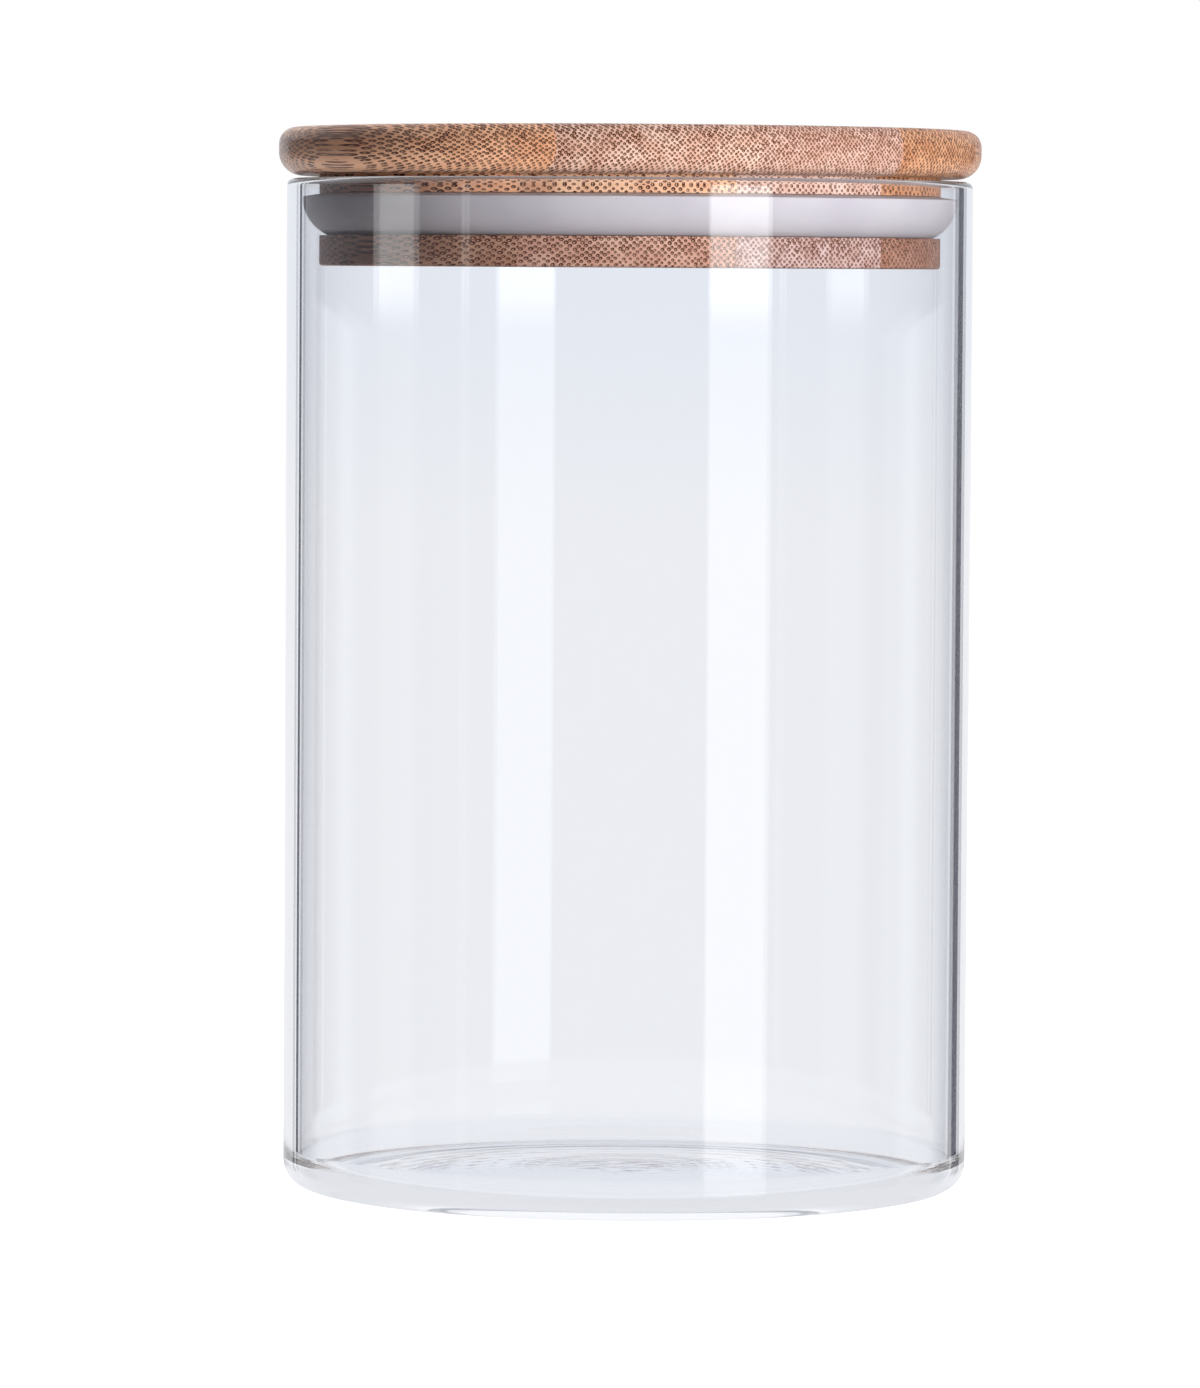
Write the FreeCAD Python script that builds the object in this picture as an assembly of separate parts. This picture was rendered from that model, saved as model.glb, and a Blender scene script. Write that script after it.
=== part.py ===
import FreeCAD, Part
import math
import os

# A straight-sided glass canister with a push-in lid of laminated bamboo slats and a silicone seal.
# Millimetres. The origin is the middle of the base, on the surface it stands on, with +Z up.

# Glass jar
JAR_RADIUS = 50.0
JAR_HEIGHT = 147.2
WALL = 2.1
BASE_THICKNESS = 2.0
BASE_CORNER = 4.0
FLOOR_CORNER = 4.0
STANDING_RING_INNER = 37.0
PUNT_RISE = 1.3

# Lid, turned from one board
CAP_RADIUS = 51.2
CAP_THICKNESS = 7.0
CAP_TOP_ROUND = 2.4
CAP_BOTTOM_ROUND = 3.4
CAP_GAP = 0.4
PLUG_RADIUS = 45.3
NECK_HEIGHT = 2.6
GROOVE_HEIGHT = 6.1
GROOVE_RADIUS = 42.0
FLANGE_HEIGHT = 4.4
FLANGE_EDGE_ROUND = 0.5
NECK_LAYER = 6.4

# Bamboo slats glued side by side, seen from above
SLAT_COUNT = 5
SLAT_WIDTH = 24.8
GRAIN_TURN = 35.0

# Silicone seal
SEAL_GROOVE_GAP = 0.1
SEAL_WALL_GAP = 0.12
SEAL_FACE_GAP = 0.08
SEAL_BOTTOM_RADIUS = 44.2
SEAL_TOP_FALL = 0.4
SEAL_LIP_EDGE = 0.4
SEAL_BELLY_INSET = 1.1
SEAL_BELLY_DROP = 3.0

# Heights that follow from the sizes above
CAP_BOTTOM = JAR_HEIGHT + CAP_GAP
CAP_TOP = CAP_BOTTOM + CAP_THICKNESS
GROOVE_TOP = CAP_BOTTOM - NECK_HEIGHT
GROOVE_BOTTOM = GROOVE_TOP - GROOVE_HEIGHT
FLANGE_BOTTOM = GROOVE_BOTTOM - FLANGE_HEIGHT
LAYER_JOINT = CAP_BOTTOM - NECK_LAYER
JAR_BORE = JAR_RADIUS - WALL

QUARTER = math.sqrt(0.5)


def at(radius, height):
    """A point of a turned outline."""
    return FreeCAD.Vector(radius, 0, height)


def line(start, end):
    return Part.LineSegment(start, end).toShape()


def arc(start, middle, end):
    return Part.Arc(start, middle, end).toShape()


def rounded(centre_radius, centre_height, size, out, up):
    """The three points of a quarter round, from its level end to its upright end.

    out is 1 on an outer corner and up is 1 on a top corner, and -1 on the other sides.
    """
    level = at(centre_radius, centre_height + up * size)
    middle = at(centre_radius + out * QUARTER * size, centre_height + up * QUARTER * size)
    upright = at(centre_radius + out * size, centre_height)
    return level, middle, upright


def dome(edge_radius, edge_height, rise):
    """A shallow arc from the axis down to a ring, level on the axis."""
    sphere = (edge_radius ** 2 + rise ** 2) / (2 * rise)
    half = edge_radius / 2
    half_height = edge_height + rise - sphere + math.sqrt(sphere ** 2 - half ** 2)
    return arc(at(0, edge_height + rise), at(half, half_height), at(edge_radius, edge_height))


def turned(edges):
    """A solid of revolution about Z from a closed outline."""
    face = Part.Face(Part.Wire(edges))
    return face.revolve(FreeCAD.Vector(0, 0, 0), FreeCAD.Vector(0, 0, 1), 360)


def glass_jar():
    """Thin wall, full-round rim, and a base that stands on a flat ring round a low punt."""
    outer = rounded(JAR_RADIUS - BASE_CORNER, BASE_CORNER, BASE_CORNER, 1, -1)
    floor_height = BASE_THICKNESS + FLOOR_CORNER
    inner = rounded(JAR_BORE - FLOOR_CORNER, floor_height, FLOOR_CORNER, 1, -1)
    rim_height = JAR_HEIGHT - WALL / 2
    rim_outer = at(JAR_RADIUS, rim_height)
    rim_top = at(JAR_RADIUS - WALL / 2, JAR_HEIGHT)
    rim_inner = at(JAR_BORE, rim_height)
    ring_below = at(STANDING_RING_INNER, 0)
    ring_above = at(STANDING_RING_INNER, BASE_THICKNESS)
    return turned([
        dome(STANDING_RING_INNER, 0, PUNT_RISE),
        line(ring_below, outer[0]),
        arc(*outer),
        line(outer[2], rim_outer),
        arc(rim_outer, rim_top, rim_inner),
        line(rim_inner, inner[2]),
        arc(*reversed(inner)),
        line(inner[0], ring_above),
        dome(STANDING_RING_INNER, BASE_THICKNESS, PUNT_RISE),
        line(at(0, BASE_THICKNESS + PUNT_RISE), at(0, PUNT_RISE)),
    ])


def silicone_seal():
    """A ring that fills the groove, domed out to a thin lip that meets the glass near its top."""
    bore = GROOVE_RADIUS + SEAL_GROOVE_GAP
    lip = JAR_BORE - SEAL_WALL_GAP
    top = GROOVE_TOP - SEAL_FACE_GAP
    bottom = GROOVE_BOTTOM + SEAL_FACE_GAP
    lip_top = top - SEAL_TOP_FALL
    lip_bottom = lip_top - SEAL_LIP_EDGE
    belly = at(lip - SEAL_BELLY_INSET, lip_bottom - SEAL_BELLY_DROP)
    return turned([
        line(at(bore, bottom), at(SEAL_BOTTOM_RADIUS, bottom)),
        arc(at(SEAL_BOTTOM_RADIUS, bottom), belly, at(lip, lip_bottom)),
        line(at(lip, lip_bottom), at(lip, lip_top)),
        line(at(lip, lip_top), at(PLUG_RADIUS, top)),
        line(at(PLUG_RADIUS, top), at(bore, top)),
        line(at(bore, top), at(bore, bottom)),
    ])


def cap_layer():
    """The round cap, with a small round above and a fuller one below."""
    upper = rounded(CAP_RADIUS - CAP_TOP_ROUND, CAP_TOP - CAP_TOP_ROUND, CAP_TOP_ROUND, 1, 1)
    lower_height = CAP_BOTTOM + CAP_BOTTOM_ROUND
    lower = rounded(CAP_RADIUS - CAP_BOTTOM_ROUND, lower_height, CAP_BOTTOM_ROUND, 1, -1)
    return turned([
        line(at(0, CAP_BOTTOM), lower[0]),
        arc(*lower),
        line(lower[2], upper[2]),
        arc(*reversed(upper)),
        line(upper[0], at(0, CAP_TOP)),
        line(at(0, CAP_TOP), at(0, CAP_BOTTOM)),
    ])


def neck_layer():
    """The neck under the cap and the upper part of the groove floor."""
    return turned([
        line(at(0, LAYER_JOINT), at(GROOVE_RADIUS, LAYER_JOINT)),
        line(at(GROOVE_RADIUS, LAYER_JOINT), at(GROOVE_RADIUS, GROOVE_TOP)),
        line(at(GROOVE_RADIUS, GROOVE_TOP), at(PLUG_RADIUS, GROOVE_TOP)),
        line(at(PLUG_RADIUS, GROOVE_TOP), at(PLUG_RADIUS, CAP_BOTTOM)),
        line(at(PLUG_RADIUS, CAP_BOTTOM), at(0, CAP_BOTTOM)),
        line(at(0, CAP_BOTTOM), at(0, LAYER_JOINT)),
    ])


def flange_layer():
    """The lower part of the groove floor and the flange, with its lower edge eased."""
    edge_height = FLANGE_BOTTOM + FLANGE_EDGE_ROUND
    eased = rounded(PLUG_RADIUS - FLANGE_EDGE_ROUND, edge_height, FLANGE_EDGE_ROUND, 1, -1)
    return turned([
        line(at(0, FLANGE_BOTTOM), eased[0]),
        arc(*eased),
        line(eased[2], at(PLUG_RADIUS, GROOVE_BOTTOM)),
        line(at(PLUG_RADIUS, GROOVE_BOTTOM), at(GROOVE_RADIUS, GROOVE_BOTTOM)),
        line(at(GROOVE_RADIUS, GROOVE_BOTTOM), at(GROOVE_RADIUS, LAYER_JOINT)),
        line(at(GROOVE_RADIUS, LAYER_JOINT), at(0, LAYER_JOINT)),
        line(at(0, LAYER_JOINT), at(0, FLANGE_BOTTOM)),
    ])


def slats(layer):
    """Cuts a turned layer into its slats, from the left of the grain to the right."""
    reach = 2 * CAP_RADIUS
    box = layer.BoundBox
    pieces = []
    for index in range(SLAT_COUNT):
        left = (index - SLAT_COUNT / 2) * SLAT_WIDTH
        corner = FreeCAD.Vector(left, -reach, box.ZMin - 1)
        blank = Part.makeBox(SLAT_WIDTH, 2 * reach, box.ZLength + 2, corner)
        blank.rotate(FreeCAD.Vector(0, 0, 0), FreeCAD.Vector(0, 0, 1), GRAIN_TURN)
        pieces.append(layer.common(blank).Solids[0])
    return pieces


def main():
    nodes = {"glass_jar": glass_jar(), "silicone_seal": silicone_seal()}
    layers = {"cap": cap_layer(), "neck": neck_layer(), "flange": flange_layer()}
    for name, layer in layers.items():
        for index, slat in enumerate(slats(layer), start=1):
            nodes[f"{name}_strip_{index}"] = slat
    os.makedirs("parts", exist_ok=True)
    for name, shape in nodes.items():
        shape.exportStep(f"parts/{name}.step")
        print(name, shape.ShapeType, shape.isValid(), round(shape.Volume, 1))


main()
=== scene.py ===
import math

import bmesh
import bpy
from mathutils import Matrix, Vector, noise


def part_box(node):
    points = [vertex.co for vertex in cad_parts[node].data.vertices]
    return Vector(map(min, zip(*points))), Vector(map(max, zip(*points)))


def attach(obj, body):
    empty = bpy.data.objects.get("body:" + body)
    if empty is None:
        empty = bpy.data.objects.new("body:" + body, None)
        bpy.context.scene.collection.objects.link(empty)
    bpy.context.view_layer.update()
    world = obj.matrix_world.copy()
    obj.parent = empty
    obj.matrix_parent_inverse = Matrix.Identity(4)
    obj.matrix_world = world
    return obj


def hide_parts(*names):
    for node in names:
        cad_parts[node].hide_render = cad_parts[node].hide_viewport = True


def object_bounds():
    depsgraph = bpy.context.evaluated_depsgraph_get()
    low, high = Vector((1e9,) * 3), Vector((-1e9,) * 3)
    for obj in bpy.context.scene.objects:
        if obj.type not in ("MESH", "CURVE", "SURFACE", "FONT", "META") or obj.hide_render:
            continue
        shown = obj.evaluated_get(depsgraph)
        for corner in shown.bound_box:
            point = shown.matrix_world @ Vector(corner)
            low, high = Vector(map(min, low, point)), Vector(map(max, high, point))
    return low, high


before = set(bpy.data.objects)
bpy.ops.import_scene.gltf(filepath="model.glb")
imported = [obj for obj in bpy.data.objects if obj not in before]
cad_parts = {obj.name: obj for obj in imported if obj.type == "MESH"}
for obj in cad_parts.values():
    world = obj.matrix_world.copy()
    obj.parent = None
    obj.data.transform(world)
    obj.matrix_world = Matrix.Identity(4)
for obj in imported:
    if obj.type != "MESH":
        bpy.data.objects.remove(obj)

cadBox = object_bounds()
mm = 0.001
print("frame loaded:", len(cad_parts), "nodes")


# small helpers for node trees

def addNode(tree, kind, inputs=None, **settings):
    made = tree.nodes.new(kind)
    for key, value in settings.items():
        setattr(made, key, value)
    for key, value in (inputs or {}).items():
        if isinstance(value, bpy.types.NodeSocket):
            tree.links.new(value, made.inputs[key])
        else:
            made.inputs[key].default_value = value
    return made


def calc(tree, operation, *values):
    made = addNode(tree, "ShaderNodeMath", dict(enumerate(values)), operation=operation)
    return made.outputs[0]


def vectorCalc(tree, operation, first, second):
    made = addNode(tree, "ShaderNodeVectorMath", {0: first, 1: second}, operation=operation)
    return made.outputs[0]


def fade(tree, value, low, high, toLow=0.0, toHigh=1.0):  # smooth step, low may be above high
    if low > high:
        low, high, toLow, toHigh = high, low, toHigh, toLow
    made = addNode(tree, "ShaderNodeMapRange", {"Value": value, "From Min": low, "From Max": high,
                   "To Min": toLow, "To Max": toHigh}, interpolation_type="SMOOTHSTEP")
    return made.outputs[0]


def window(tree, value, centre, half, soft):  # 1 inside a band, 0 outside, with soft ends
    away = calc(tree, "ABSOLUTE", calc(tree, "SUBTRACT", value, centre))
    return fade(tree, away, half + soft, half - soft)


def blendColour(tree, factor, first, second, blend="MIX"):
    made = addNode(tree, "ShaderNodeMix", {0: factor, 6: first, 7: second},
                   data_type="RGBA", blend_type=blend, clamp_factor=True)
    return made.outputs[2]


def mapped(tree, vector, scale, place=(0, 0, 0), turn=0.0):
    made = addNode(tree, "ShaderNodeMapping", {"Vector": vector, "Scale": scale, "Location": place,
                   "Rotation": (0, 0, turn)})
    return made.outputs[0]


def grainNoise(tree, vector, scale, detail=2.0, roughness=0.5):
    made = addNode(tree, "ShaderNodeTexNoise", {"Vector": vector, "Scale": scale, "Detail": detail,
                   "Roughness": roughness})
    return made.outputs[0]


def newMaterial(name):
    material = bpy.data.materials.new(name)
    material.use_nodes = True
    tree = material.node_tree
    tree.nodes.clear()
    surface = addNode(tree, "ShaderNodeBsdfPrincipled")
    addNode(tree, "ShaderNodeOutputMaterial", {"Surface": surface.outputs[0]})
    return material, tree, surface


def addBump(tree, surface, height, strength, depth):  # depth in mm
    bump = addNode(tree, "ShaderNodeBump", {"Height": height, "Strength": strength, "Distance": depth * mm})
    tree.links.new(bump.outputs[0], surface.inputs["Normal"])


def setSockets(surface, values):
    for key, value in values.items():
        surface.inputs[key].default_value = value


# small helpers for turned shapes

def arcPoints(centre, size, start, end, steps):  # angles in degrees, 0 points outwards, 90 up
    points = []
    for step in range(steps + 1):
        turn = math.radians(start + (end - start) * step / steps)
        points.append((centre[0] + size * math.cos(turn), centre[1] + size * math.sin(turn)))
    return points


def runPoints(start, end, steps, hug=0.08):  # straight run without its ends
    share = hug / math.dist(start, end)      # rows close to the ends keep its shading straight
    places = [share] + [step / steps for step in range(1, steps)] + [1 - share]
    return [(start[0] + (end[0] - start[0]) * place,
             start[1] + (end[1] - start[1]) * place) for place in places]


def turnedMesh(name, outline, segments, ring=False, shift=None):
    shape = bmesh.new()
    rows = []
    for radius, height in outline:
        row = []
        count = segments if radius > 1e-6 else 1       # one point on the axis
        for step in range(count):
            turn = 2 * math.pi * step / segments
            lift = shift(radius, height, turn) if shift else 0.0
            place = Vector((radius * math.sin(turn), -radius * math.cos(turn), height + lift))
            row.append(shape.verts.new(place * mm))
        rows.append(row)
    pairs = list(zip(rows, rows[1:]))
    if ring:
        pairs.append((rows[-1], rows[0]))
    for lower, upper in pairs:
        for step in range(segments):
            after = (step + 1) % segments
            corners = [lower[step % len(lower)], lower[after % len(lower)],
                       upper[after % len(upper)], upper[step % len(upper)]]
            shape.faces.new(list(dict.fromkeys(corners)))
    bmesh.ops.recalc_face_normals(shape, faces=shape.faces)
    mesh = bpy.data.meshes.new(name)
    shape.to_mesh(mesh)
    shape.free()
    mesh.shade_smooth()
    piece = bpy.data.objects.new(name, mesh)
    bpy.context.scene.collection.objects.link(piece)
    return piece


# glass jar, in millimetres

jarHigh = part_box("glass_jar")[1]
glassJar = {
    "radius": jarHigh.x / mm,
    "height": jarHigh.z / mm,
    "wall": 2.1,
    "base": 2.0,
    "baseCorner": 4.0,
    "floorCorner": 4.0,
    "standingRing": 37.0,
    "punt": 1.3,
    "innerRise": 0.5,           # share of the punt that shows on the inside
    "sweep": (27.0, 0.25, 2.0),         # the floor rises towards the wall: from where, how far, run-out
    "rippleGap": 1.9,           # rings left in the floor by the forming roller
    "rippleHeight": 0.003,
    "rippleFade": (14.0, 9.0),  # how far they take to fade, in the middle and towards the wall
    "rippleUneven": (0.9, 0.4, 0.04),   # how uneven they are: mean, spread, scale
    "pinchRadius": 9.0,         # where the tube was closed, in the middle of the base
    "pinchHeight": 0.22,
    "pinchScale": 0.33,
    "segments": 192,
    "rows": {"dome": 40, "ring": 6, "corner": 16, "wall": 16, "rim": 20, "floorCorner": 14, "floor": 168},
    "tint": (0.958, 0.968, 0.988, 1),
    "bend": 1.47,
    "drawLines": (60, 60, 5),   # scale of the faint draw lines up the tube
    "drawBump": (0.12, 0.1),    # their strength and depth
}


def jarOutline(jar):
    outer, wall, base = jar["radius"], jar["wall"], jar["base"]
    punt, ringIn, rows = jar["punt"], jar["standingRing"], jar["rows"]
    bore = outer - wall
    sphere = (ringIn ** 2 + punt ** 2) / (2 * punt)

    def domeHeight(radius):
        return punt - sphere + math.sqrt(sphere ** 2 - radius ** 2)

    below = []
    for step in range(rows["dome"]):
        radius = ringIn * step / rows["dome"]
        below.append((radius, domeHeight(radius)))
    outerFlat = outer - jar["baseCorner"]
    below += [(ringIn, 0.0)] + runPoints((ringIn, 0), (outerFlat, 0), rows["ring"])
    corner = arcPoints((outerFlat, jar["baseCorner"]), jar["baseCorner"], -90, 0, rows["corner"])
    rimHeight = jar["height"] - wall / 2
    outside = runPoints((outer, jar["baseCorner"]), (outer, rimHeight), rows["wall"])
    rim = arcPoints((outer - wall / 2, rimHeight), wall / 2, 0, 180, rows["rim"])
    floorTop = base + jar["floorCorner"]
    inside = runPoints((bore, rimHeight), (bore, floorTop), rows["wall"])
    innerFlat = bore - jar["floorCorner"]
    innerCorner = arcPoints((innerFlat, floorTop), jar["floorCorner"], 0, -90, rows["floorCorner"])
    floor = []
    for step in reversed(range(rows["floor"])):
        radius = innerFlat * step / rows["floor"]
        floor.append((radius, base + jar["innerRise"] * domeHeight(min(radius, ringIn))))
    return below + corner + outside + rim + inside + innerCorner + floor


def floorRipple(radius, height, turn):
    jar = glassJar
    flat = jar["radius"] - jar["wall"] - jar["floorCorner"]
    if radius > flat or height < jar["base"] - 0.1:    # only the floor, the underside is smooth
        return 0.0
    middleFade, edgeFade = jar["rippleFade"]
    mean, spread, scale = jar["rippleUneven"]
    wave = math.sin(2 * math.pi * radius / jar["rippleGap"])
    spot = Vector((radius * math.sin(turn), radius * math.cos(turn), 0.0))
    uneven = mean + spread * noise.noise(spot * scale)
    faded = min(1.0, (flat - radius) / edgeFade) * min(1.0, radius / middleFade)
    lift = jar["rippleHeight"] * wave * uneven * faded
    start, rise, runOut = jar["sweep"]
    if radius > start:
        lift += rise * ((radius - start) / (flat - start)) ** 2 * min(1.0, (flat - radius) / runOut)
    near = max(0.0, 1 - radius / jar["pinchRadius"])
    return lift + jar["pinchHeight"] * near * noise.noise(spot * jar["pinchScale"])


def glassMaterial(jar):
    material, tree, surface = newMaterial("clearDrawnGlass")
    spot = addNode(tree, "ShaderNodeTexCoord").outputs["Object"]
    waves = grainNoise(tree, mapped(tree, spot, jar["drawLines"]), 1.0, 1.0)
    addBump(tree, surface, waves, *jar["drawBump"])
    setSockets(surface, {"Base Color": jar["tint"], "Roughness": 0.0, "IOR": jar["bend"],
                         "Transmission Weight": 1.0})
    return material


jarPiece = turnedMesh("clearGlassJar", jarOutline(glassJar), glassJar["segments"], shift=floorRipple)
jarPiece.data.materials.append(glassMaterial(glassJar))
jarPiece.visible_shadow = False                    # lamps reach the plug through the clear wall
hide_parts("glass_jar")
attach(jarPiece, "jar")
print("glass jar:", len(jarPiece.data.polygons), "faces")


# silicone seal, in millimetres

sealLow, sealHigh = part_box("silicone_seal")
sealRing = {
    "bore": 42.1,
    "lip": 47.78,
    "top": sealHigh.z / mm,
    "bottom": sealLow.z / mm,
    "plugRadius": 45.3,
    "bottomRadius": 44.2,
    "lipFall": 0.4,
    "lipEdge": 0.4,
    "lipTurn": 84,              # degrees that the eased lip turns before it runs into the top face
    "belly": (1.1, 3.0),        # how far the middle of the dome is in from the lip, and below it
    "segments": 192,
    "rows": {"dome": 24, "lip": 6, "face": 4},
    "colour": (0.56, 0.535, 0.57, 1),
    "shade": (0.51, 0.485, 0.53, 1),
    "cloud": (90.0, 0.35, 0.7),         # scale of the clouds, and where the shade starts and is full
    "dust": 2600.0,
    "roughness": (0.42, 0.14),  # least, and what the dust adds
    "dustBump": (0.12, 0.05),
    "softness": {"Subsurface Weight": 0.35, "Subsurface Radius": (1.0, 0.95, 0.95),
                 "Subsurface Scale": 1.5 * mm},
}


def threePointArc(start, middle, end, steps):
    ax, ay = start
    bx, by = middle
    cx, cy = end
    aa, bb, cc = ax * ax + ay * ay, bx * bx + by * by, cx * cx + cy * cy
    span = 2 * (ax * (by - cy) + bx * (cy - ay) + cx * (ay - by))
    ux = (aa * (by - cy) + bb * (cy - ay) + cc * (ay - by)) / span
    uy = (aa * (cx - bx) + bb * (ax - cx) + cc * (bx - ax)) / span
    size = math.hypot(ax - ux, ay - uy)
    first = math.degrees(math.atan2(ay - uy, ax - ux))
    last = math.degrees(math.atan2(cy - uy, cx - ux))
    return arcPoints((ux, uy), size, first, last, steps)


def sealOutline(seal):
    top, bottom, rows = seal["top"], seal["bottom"], seal["rows"]
    lipTop = top - seal["lipFall"]
    lipBottom = lipTop - seal["lipEdge"]
    middle = (seal["lip"] - seal["belly"][0], lipBottom - seal["belly"][1])
    dome = threePointArc((seal["bottomRadius"], bottom), middle, (seal["lip"], lipBottom), rows["dome"])
    ease = seal["lipEdge"] / 2
    lip = arcPoints((seal["lip"] - ease, lipTop - ease), ease, 0, seal["lipTurn"], rows["lip"])
    face = runPoints(lip[-1], (seal["plugRadius"], top), rows["face"])
    back = [(seal["plugRadius"], top), (seal["bore"], top), (seal["bore"], bottom)]
    return dome + lip + face + back


def siliconeMaterial(seal):
    material, tree, surface = newMaterial("paleSilicone")
    spot = addNode(tree, "ShaderNodeTexCoord").outputs["Object"]
    cloudScale, shadeStart, shadeFull = seal["cloud"]
    cloud = grainNoise(tree, spot, cloudScale, 3.0)
    dust = grainNoise(tree, spot, seal["dust"])
    colour = blendColour(tree, fade(tree, cloud, shadeStart, shadeFull), seal["colour"], seal["shade"])
    tree.links.new(colour, surface.inputs["Base Color"])
    least, added = seal["roughness"]
    rough = calc(tree, "ADD", least, calc(tree, "MULTIPLY", dust, added))
    tree.links.new(rough, surface.inputs["Roughness"])
    addBump(tree, surface, dust, *seal["dustBump"])
    setSockets(surface, seal["softness"])
    return material


sealPiece = turnedMesh("siliconeSealRing", sealOutline(sealRing), sealRing["segments"], ring=True)
sealPiece.data.materials.append(siliconeMaterial(sealRing))
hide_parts("silicone_seal")
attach(sealPiece, "seal")
print("seal ring:", len(sealPiece.data.polygons), "faces")


# bamboo slats, the three glued layers of the lid

bamboo = {
    "layers": ("cap", "neck", "flange"),
    "grainTurn": 35.0,          # degrees that the grain turns from the front towards the right
    "gaps": {"cap": 0.67, "neck": 0.95, "flange": 0.82},    # mm between fibre bundles in a row
    "rise": 1.12,               # gap up the slat, as a share of the gap across it
    "bundleJitter": 0.32,
    "wander": ((0.05, 0.02, 0.05), (1.6, 0, 1.6)),          # scale of the drift of the rows, and its mm
    # fibre dots, in shares of the gap
    "dotSize": 0.44,
    "dotEdge": 0.84,            # where a dot is full, as a share of its size
    "dotChance": (0.8, 0.4),    # least size, and what chance adds
    "dotGrowth": {"cap": (0.82, 1.0), "neck": (0.62, 0.82), "flange": (0.80, 1.08)},   # from low to high
    "dotStreak": (0.25, 0.6, 0.75, 1.0),        # where streaks weaken the dots, and from what to what
    # the pale pip in each dot
    "pipSize": 0.18,
    "pipEdge": 0.45,
    "pipShift": (0.10, -0.02, 0),
    "pipShare": 0.6,
    "pip": (0.84, 0.54, 0.32, 1),
    # for each slat: pale tone, deep tone, fibre tone, share of the gap, oil on top
    "slats": {
        1: ((0.95, 0.55, 0.345), (0.70, 0.345, 0.19), (0.075, 0.009, 0.001), 0.92, 0.5),
        2: ((0.75, 0.52, 0.42), (0.59, 0.34, 0.255), (0.070, 0.009, 0.001), 1.0, 0.2),
        3: ((0.66, 0.445, 0.37), (0.51, 0.295, 0.225), (0.080, 0.011, 0.002), 0.98, 0.2),
        4: ((0.63, 0.335, 0.185), (0.48, 0.21, 0.10), (0.065, 0.008, 0.001), 1.25, 0.3),
        5: ((0.68, 0.375, 0.215), (0.52, 0.25, 0.125), (0.060, 0.007, 0.001), 1.32, 0.3),
    },
    # tone of a layer, or of one slat of it: partly the different culms the layers come from, partly painted
    # light, a painted shade darkening the flange's slats and a painted highlight lightening the neck under the
    # glass rim
    "tonesAndPaintedLight": {"cap": (1, 1, 1), "neck": (1.02, 0.98, 0.94), "flange": (0.75, 0.70, 0.70),
              "neck_strip_2": (1.06, 0.96, 0.76), "neck_strip_3": (1.14, 1.22, 1.25),
              "flange_strip_1": (0.56, 0.55, 0.60), "flange_strip_2": (0.83, 0.73, 0.69),
              "flange_strip_3": (0.94, 1.02, 1.15), "flange_strip_4": (0.70, 0.70, 0.88)},
    # scale of the grain across, along and up the slat, and where the deep tone starts and is full
    "broadGrain": ((0.35, 0.02, 0.35), (0.3, 0.72)),
    "fineGrain": ((6, 0.35, 6), (0.45, 0.75, 0.0, 0.35)),
    "streaks": (0.8, 0.06, 0.8),
    "knuckles": {"cap_strip_2": 21.0, "cap_strip_4": -17.0, "flange_strip_3": 12.0},   # mm along the grain
    "knuckleRing": (0.0, 2.6, 1.6, 0.35),       # place, half width, softness, strength
    "knuckleEdge": (2.2, 0.5, 0.5, 0.45),
    "roughness": (0.42, 0.16, 0.08),    # least, and what the fine grain and the dots add
    "grainRelief": 0.3,         # height of the fine grain, as a share of the depth of the dots
    "reliefBump": (0.35, 0.06),
    "shine": 0.18,
    "oilRoughness": 0.12,
}


def fibreDots(tree, across, up, node, layer, spread, seed):
    wood = bamboo
    gap = wood["gaps"][layer] * spread
    # bundles stand in staggered rows, so the lattice is turned by half a right angle
    sideways = calc(tree, "DIVIDE", across, gap)
    upwards = calc(tree, "DIVIDE", up, gap * wood["rise"])
    lattice = addNode(tree, "ShaderNodeCombineXYZ", {0: calc(tree, "ADD", sideways, upwards),
                      1: calc(tree, "SUBTRACT", sideways, upwards)}).outputs[0]
    lattice = vectorCalc(tree, "ADD", lattice, (seed * 7.0, seed * 3.0, 0))

    def bundles(vector):
        cell = addNode(tree, "ShaderNodeTexVoronoi", {"Vector": vector, "Scale": 1.0,
                       "Randomness": wood["bundleJitter"]}, voronoi_dimensions="2D")
        return cell.outputs["Distance"], cell.outputs["Color"]

    distance, cellColour = bundles(lattice)
    pipDistance = bundles(vectorCalc(tree, "ADD", lattice, wood["pipShift"]))[0]
    # bundles thicken towards the skin side of the slat, here its upper face
    low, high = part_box(node)
    skin = fade(tree, up, low.z / mm, high.z / mm, *wood["dotGrowth"][layer])
    lot = addNode(tree, "ShaderNodeSeparateColor", {0: cellColour}).outputs[0]
    least, chance = wood["dotChance"]
    size = calc(tree, "MULTIPLY", skin, calc(tree, "ADD", least, calc(tree, "MULTIPLY", lot, chance)))
    dotSize, pipSize = wood["dotSize"], wood["pipSize"]
    dot = fade(tree, calc(tree, "DIVIDE", distance, size), dotSize, dotSize * wood["dotEdge"])
    pip = fade(tree, calc(tree, "DIVIDE", pipDistance, size), pipSize, pipSize * wood["pipEdge"])
    return dot, pip


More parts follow.
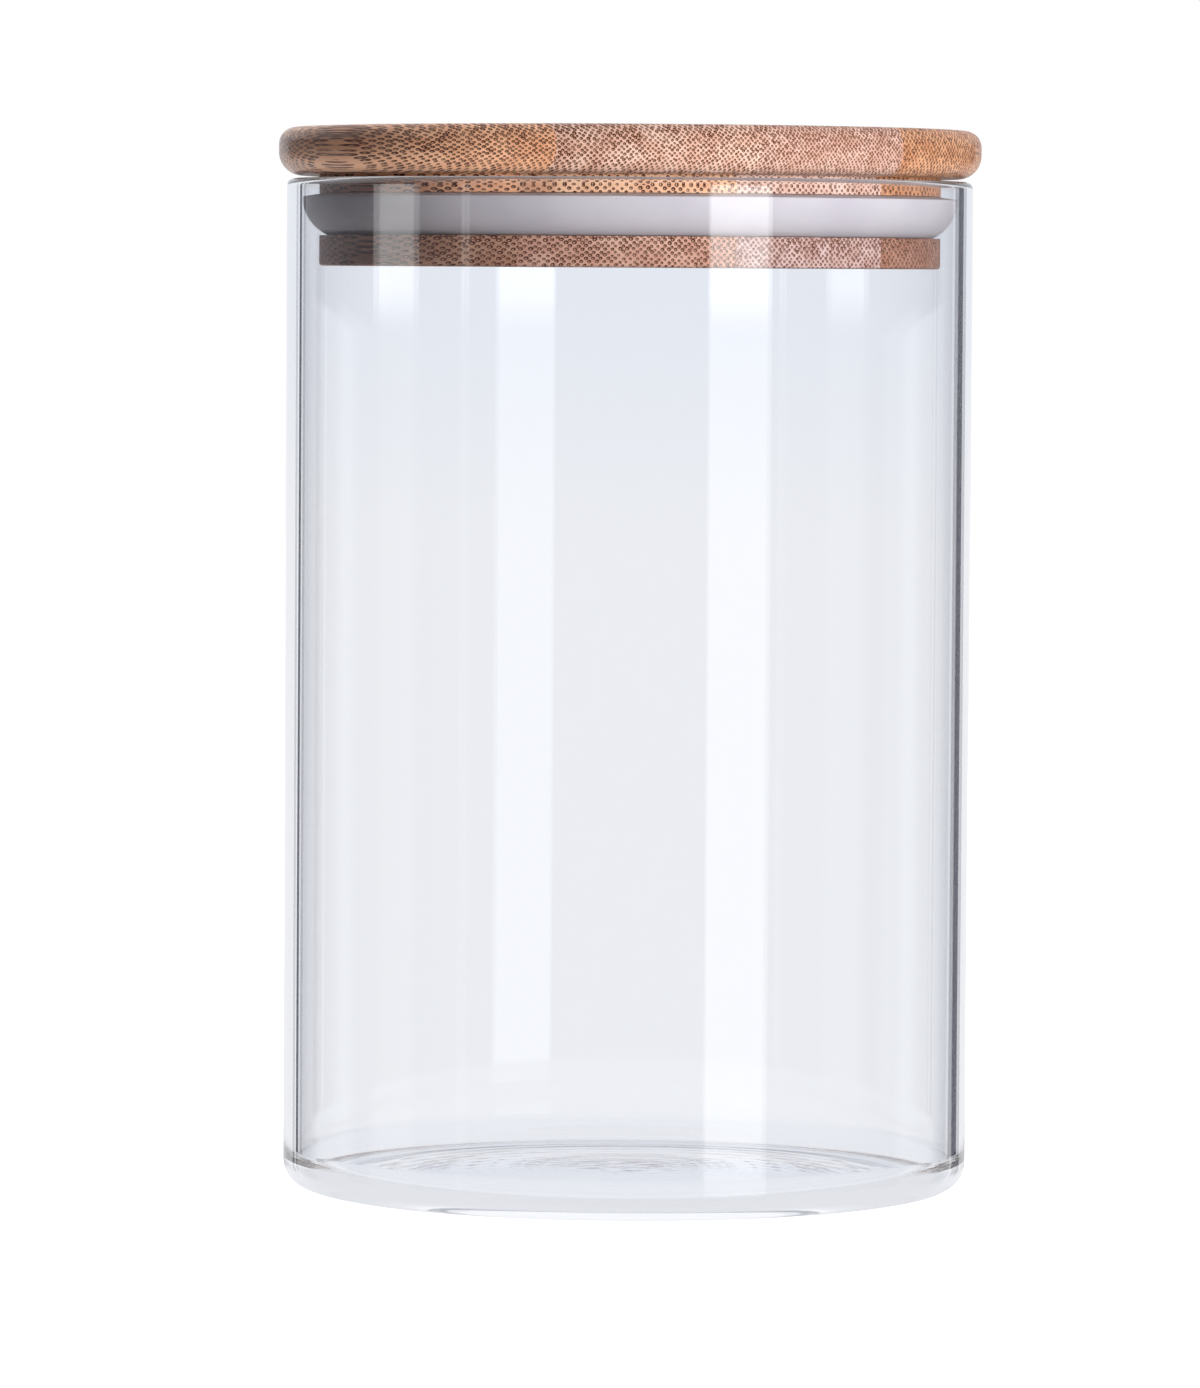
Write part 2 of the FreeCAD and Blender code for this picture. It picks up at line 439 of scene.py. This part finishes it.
def slatMaterial(node, layer, index):
    wood = bamboo
    pale, deep, fibre, spread, oil = wood["slats"][index]
    # this tone carries painted shade on the flange and a painted highlight on the neck
    tone = wood["tonesAndPaintedLight"].get(node, wood["tonesAndPaintedLight"][layer])
    pale = (*[part * share for part, share in zip(pale, tone)], 1)
    deep = (*[part * share for part, share in zip(deep, tone)], 1)
    fibre = (*fibre, 1)
    seed = 10 * wood["layers"].index(layer) + index    # sets the slats' patterns apart
    material, tree, surface = newMaterial("bamboo_" + node)
    spot = addNode(tree, "ShaderNodeTexCoord").outputs["Object"]
    # turn to the slat: X across the grain, Y along it, Z up, in millimetres
    slat = mapped(tree, spot, (1 / mm, 1 / mm, 1 / mm), turn=math.radians(-wood["grainTurn"]))
    wanderScale, wanderSize = wood["wander"]
    slow = mapped(tree, slat, wanderScale, (seed * 3.1, seed * 1.7, 0))
    wander = addNode(tree, "ShaderNodeTexNoise", {"Vector": slow, "Scale": 1.0, "Detail": 1.0}).outputs["Color"]
    path = vectorCalc(tree, "ADD", slat, vectorCalc(tree, "MULTIPLY", wander, wanderSize))
    across, along, up = addNode(tree, "ShaderNodeSeparateXYZ", {"Vector": path}).outputs
    dot, pip = fibreDots(tree, across, up, node, layer, spread, seed)
    # tone of the pith between the bundles
    broadScale, broadRange = wood["broadGrain"]
    fineScale, fineRange = wood["fineGrain"]
    broad = grainNoise(tree, mapped(tree, slat, broadScale, (seed * 5.0, 0, seed)), 1.0, 3.0)
    fine = grainNoise(tree, mapped(tree, slat, fineScale, (seed, 0, 0)), 1.0, 3.0, 0.6)
    colour = blendColour(tree, fade(tree, broad, *broadRange), pale, deep)
    colour = blendColour(tree, fade(tree, fine, *fineRange), colour, deep)
    streak = grainNoise(tree, mapped(tree, slat, wood["streaks"], (0, seed, seed)), 1.0)
    strength = calc(tree, "MULTIPLY", dot, fade(tree, streak, *wood["dotStreak"]))
    colour = blendColour(tree, strength, colour, fibre)
    colour = blendColour(tree, calc(tree, "MULTIPLY", pip, wood["pipShare"]), colour, wood["pip"])
    if node in wood["knuckles"]:
        for key, stain in (("knuckleRing", deep), ("knuckleEdge", fibre)):
            shift, half, soft, share = wood[key]
            band = window(tree, along, wood["knuckles"][node] + shift, half, soft)
            colour = blendColour(tree, calc(tree, "MULTIPLY", band, share), colour, stain)
    tree.links.new(colour, surface.inputs["Base Color"])
    least, grainRough, dotRough = wood["roughness"]
    rough = calc(tree, "ADD", least, calc(tree, "MULTIPLY", fine, grainRough))
    rough = calc(tree, "ADD", rough, calc(tree, "MULTIPLY", dot, dotRough))
    tree.links.new(rough, surface.inputs["Roughness"])
    relief = calc(tree, "SUBTRACT", calc(tree, "MULTIPLY", fine, wood["grainRelief"]),
                  calc(tree, "SUBTRACT", dot, pip))
    addBump(tree, surface, relief, *wood["reliefBump"])
    setSockets(surface, {"Specular IOR Level": wood["shine"], "Coat Roughness": wood["oilRoughness"],
                         "Coat Weight": oil if layer == "cap" else 0.0})
    return material


for layerName in bamboo["layers"]:
    for slatIndex in bamboo["slats"]:
        slatNode = f"{layerName}_strip_{slatIndex}"
        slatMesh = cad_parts[slatNode]
        slatMesh.data.materials.clear()
        slatMesh.data.materials.append(slatMaterial(slatNode, layerName, slatIndex))
print("bamboo slats:", len(bamboo["layers"]) * len(bamboo["slats"]))


# studio: pale floor, white surround, window light from the front right, lamps above and behind

studio = {
    "floorRadius": 3.0,
    "floorSegments": 96,
    "floorDrop": 0.0002,        # keeps the floor clear of the standing ring
    "floorGlow": 0.985,
    "floorColours": ((0.35, 0.35, 0.35, 1), (0.60, 0.60, 0.61, 1)),
    "floorMottle": 40.0,
    "floorRoughness": 0.9,
    # the surround, by the height of the ray: 0 is level, -1 straight down
    "white": (1.0, 1.0, 1.0, 1),
    "sky": (0.93, 0.95, 0.99, 1),
    "skyRays": (-0.035, 0.0),
    "tableNear": (0.945, 0.95, 0.965, 1),
    "tableNearRays": (-0.13, -0.25),
    # light on rough surfaces, with what the white table throws up
    "fillAbove": (0.05, 0.05, 0.06, 1),
    "fillBelow": (1.80, 1.66, 1.52, 1),
    "fillRays": (-0.82, -0.62),
    # thin black cards behind the jar that edge the glass, as bearings in degrees to the right
    "cards": ((-36.6, -33.8), (-32.2, -29.4), (24.2, 34.8)),
    "cardDark": (0.02, 0.02, 0.045, 1),
    "cardSoft": 0.3,
    "cardRays": (-0.05, 0.13, 0.05),    # middle, half height, softness
    # the rest of the room as mirrored by the glass
    "eyeRays": (-0.008, -0.001),        # where what is below eye height goes over to what is above
    "backHalf": (74.0, 38.0),   # half width of the white, below and above eye height, in degrees
    "backSoft": 2.0,
    "backTone": (0.88, 0.89, 0.91, 1),
    "gap": (0.30, 0.30, 0.34, 1),       # a darker gap between the backdrop and the side screens
    "gapFrom": (36, 38),
    "screen": (0.70, 0.71, 0.74, 1),
    "screenFrom": (46, 54),
    "front": (0.30, 0.30, 0.33, 1),
    "table": (0.80, 0.81, 0.84, 1),
    "tableRays": (-0.15, -0.35),
    "ceiling": (0.84, 0.85, 0.87, 1),
    "ceilingRays": (0.13, 0.19),
    # mirrored lamps: bearing, half width, brightness below and above eye height
    "mirroredLamps": ((142.4, 10.7, 1.9, 4.1), (-94.2, 9.2, 0.6, 2.6), (-123.0, 0.7, 0.8, 2.2)),
    "lampSoft": 0.35,
    "lampTop": (0.0126, 0.0118),        # where they end
    # light that has run round inside the glass, by the number of its reflections
    "deepGlow": {2: (0.72, 0.73, 0.77, 1), 3: (0.74, 0.75, 0.79, 1), 4: (0.06, 0.07, 0.11, 1),
                 5: (0.85, 0.86, 0.89, 1), 6: (1.02, 1.02, 1.03, 1)},
    # lamps: place, size, watts
    "lampAim": 0.8,             # share of the canister's height that they point at
    "windowBearing": 37.6,      # degrees to the right of the camera
    "windowDistance": 1.0,
    "windowHeight": 0.19,
    "windowLight": ((0.38, 0.36), 14.5),
    "topPlace": (0.0, 0.45, 0.95),
    "topLight": ((0.8, 0.8), 9.0),
    "rearPlace": (-0.16, 0.95, 0.36),
    "rearLight": ((0.5, 0.4), 9.0),
    # light runs round inside the base many times
    "bounces": {"max_bounces": 160, "glossy_bounces": 128, "transmission_bounces": 128},
}


def studioFloor(setup):
    shape = bmesh.new()
    bmesh.ops.create_circle(shape, cap_ends=True, segments=setup["floorSegments"], radius=setup["floorRadius"])
    mesh = bpy.data.meshes.new("studioFloor")
    shape.to_mesh(mesh)
    shape.free()
    floor = bpy.data.objects.new("studioFloor", mesh)
    bpy.context.scene.collection.objects.link(floor)
    material, tree, surface = newMaterial("paleFloor")
    spot = addNode(tree, "ShaderNodeTexCoord").outputs["Object"]
    mottle = grainNoise(tree, spot, setup["floorMottle"])
    tree.links.new(blendColour(tree, mottle, *setup["floorColours"]), surface.inputs["Base Color"])
    setSockets(surface, {"Roughness": setup["floorRoughness"], "Emission Color": setup["white"],
                         "Emission Strength": setup["floorGlow"]})
    floor.data.materials.append(material)
    floor.location.z = -setup["floorDrop"]
    floor.visible_glossy = False
    floor.visible_diffuse = False
    floor.visible_transmission = False             # the glass shows the even surround instead


def mirroredRoom(tree, setup, bearing, z, air):    # white behind, dark room in front, tall lamps
    cards = None
    for left, right in setup["cards"]:
        card = window(tree, bearing, (left + right) / 2, (right - left) / 2, setup["cardSoft"])
        cards = card if cards is None else calc(tree, "MAXIMUM", cards, card)
    cards = calc(tree, "MULTIPLY", cards, window(tree, z, *setup["cardRays"]))
    room = blendColour(tree, cards, air, setup["cardDark"])
    room = blendColour(tree, 1.0, room, setup["backTone"], "MULTIPLY")
    aside = calc(tree, "ABSOLUTE", bearing)
    room = blendColour(tree, fade(tree, aside, *setup["gapFrom"]), room, setup["gap"])
    room = blendColour(tree, fade(tree, aside, *setup["screenFrom"]), room, setup["screen"])
    half = fade(tree, z, *setup["eyeRays"], *setup["backHalf"])
    behind = fade(tree, calc(tree, "SUBTRACT", aside, half), setup["backSoft"], -setup["backSoft"])
    room = blendColour(tree, behind, setup["front"], room)
    for lampBearing, halfWidth, lower, upper in setup["mirroredLamps"]:
        lamp = window(tree, bearing, lampBearing, halfWidth, setup["lampSoft"])
        lamp = calc(tree, "MULTIPLY", lamp, fade(tree, z, *setup["lampTop"]))
        bright = fade(tree, z, *setup["eyeRays"], lower, upper)
        glow = addNode(tree, "ShaderNodeCombineColor", {0: bright, 1: bright, 2: bright}).outputs[0]
        room = blendColour(tree, lamp, room, glow)
    room = blendColour(tree, fade(tree, z, *setup["tableRays"]), room, setup["table"])
    return blendColour(tree, fade(tree, z, *setup["ceilingRays"]), room, setup["ceiling"])


def studioWorld(setup):
    world = bpy.data.worlds.new("studioSurround")
    bpy.context.scene.world = world
    world.use_nodes = True
    world.cycles.sampling_method = "NONE"
    tree = world.node_tree
    tree.nodes.clear()
    look = addNode(tree, "ShaderNodeTexCoord").outputs["Generated"]
    x, y, z = addNode(tree, "ShaderNodeSeparateXYZ", {"Vector": look}).outputs
    bearing = calc(tree, "DEGREES", calc(tree, "ARCTAN2", x, y))
    ray = addNode(tree, "ShaderNodeLightPath").outputs

    def past(depth, count):                        # 1 for light reflected at least so many times
        return calc(tree, "GREATER_THAN", ray[depth], count - 0.5)

    # seen straight through the glass
    air = blendColour(tree, fade(tree, z, *setup["skyRays"]), setup["white"], setup["sky"])
    air = blendColour(tree, fade(tree, z, *setup["tableNearRays"]), air, setup["tableNear"])
    mirrored = mirroredRoom(tree, setup, bearing, z, air)
    for count, glow in setup["deepGlow"].items():
        mirrored = blendColour(tree, past("Glossy Depth", count), mirrored, glow)
    fill = blendColour(tree, fade(tree, z, *setup["fillRays"]), setup["fillBelow"], setup["fillAbove"])
    colour = blendColour(tree, past("Glossy Depth", 1), air, mirrored)
    colour = blendColour(tree, past("Diffuse Depth", 1), colour, fill)
    colour = blendColour(tree, ray["Is Camera Ray"], colour, setup["white"])
    back = addNode(tree, "ShaderNodeBackground", {"Color": colour})
    addNode(tree, "ShaderNodeOutputWorld", {"Surface": back.outputs[0]})


def addLamp(name, place, target, size, watts):
    data = bpy.data.lights.new(name, "AREA")
    data.shape = "RECTANGLE"
    data.size, data.size_y = size
    data.energy = watts
    lamp = bpy.data.objects.new(name, data)
    lamp.location = place
    lamp.rotation_euler = (Vector(target) - Vector(place)).to_track_quat("-Z", "Y").to_euler()
    lamp.visible_camera = lamp.visible_glossy = lamp.visible_transmission = False
    bpy.context.scene.collection.objects.link(lamp)


def studioLamps(setup):
    turn = math.radians(setup["windowBearing"])
    reach = setup["windowDistance"]
    windowPlace = (reach * math.sin(turn), -reach * math.cos(turn), setup["windowHeight"])
    middle = (0, 0, cadBox[1].z * setup["lampAim"])
    addLamp("windowLight", windowPlace, middle, *setup["windowLight"])
    addLamp("topLight", setup["topPlace"], middle, *setup["topLight"])
    addLamp("rearLight", setup["rearPlace"], middle, *setup["rearLight"])


studioFloor(studio)
studioWorld(studio)
studioLamps(studio)
for bounceKind, bounceCount in studio["bounces"].items():
    setattr(bpy.context.scene.cycles, bounceKind, bounceCount)
print("studio ready")


# camera at the photographed angle

view = {
    "distance": 1.2,
    "height": 0.13385,
    "yaw": -0.1875,             # degrees
    "pitch": 2.944,
    "roll": 0.357,
    "focalPixels": 8209.3,
    "frame": (1200, 1388),
    "sensor": 36.0,
    "clip": (0.01, 100),
}


def addCamera(setup):
    yaw, pitch, roll = (math.radians(setup[key]) for key in ("yaw", "pitch", "roll"))
    forward = Vector((math.sin(yaw) * math.cos(pitch), math.cos(yaw) * math.cos(pitch), -math.sin(pitch)))
    right = Vector((math.cos(yaw), -math.sin(yaw), 0))
    up = right.cross(forward)
    rolledRight = math.cos(roll) * right + math.sin(roll) * up
    rolledUp = math.cos(roll) * up - math.sin(roll) * right
    data = bpy.data.cameras.new("photoView")
    data.sensor_width = setup["sensor"]
    data.lens = setup["focalPixels"] * setup["sensor"] / max(setup["frame"])
    data.clip_start, data.clip_end = setup["clip"]
    camera = bpy.data.objects.new("photoView", data)
    camera.matrix_world = Matrix.Translation((0, -setup["distance"], setup["height"])) @ Matrix(
        (rolledRight, rolledUp, -forward)).transposed().to_4x4()
    bpy.context.scene.collection.objects.link(camera)
    bpy.context.scene.camera = camera


addCamera(view)
bpy.context.scene.view_settings.view_transform = "Standard"
bpy.context.scene.view_settings.look = "None"
print("camera ready")
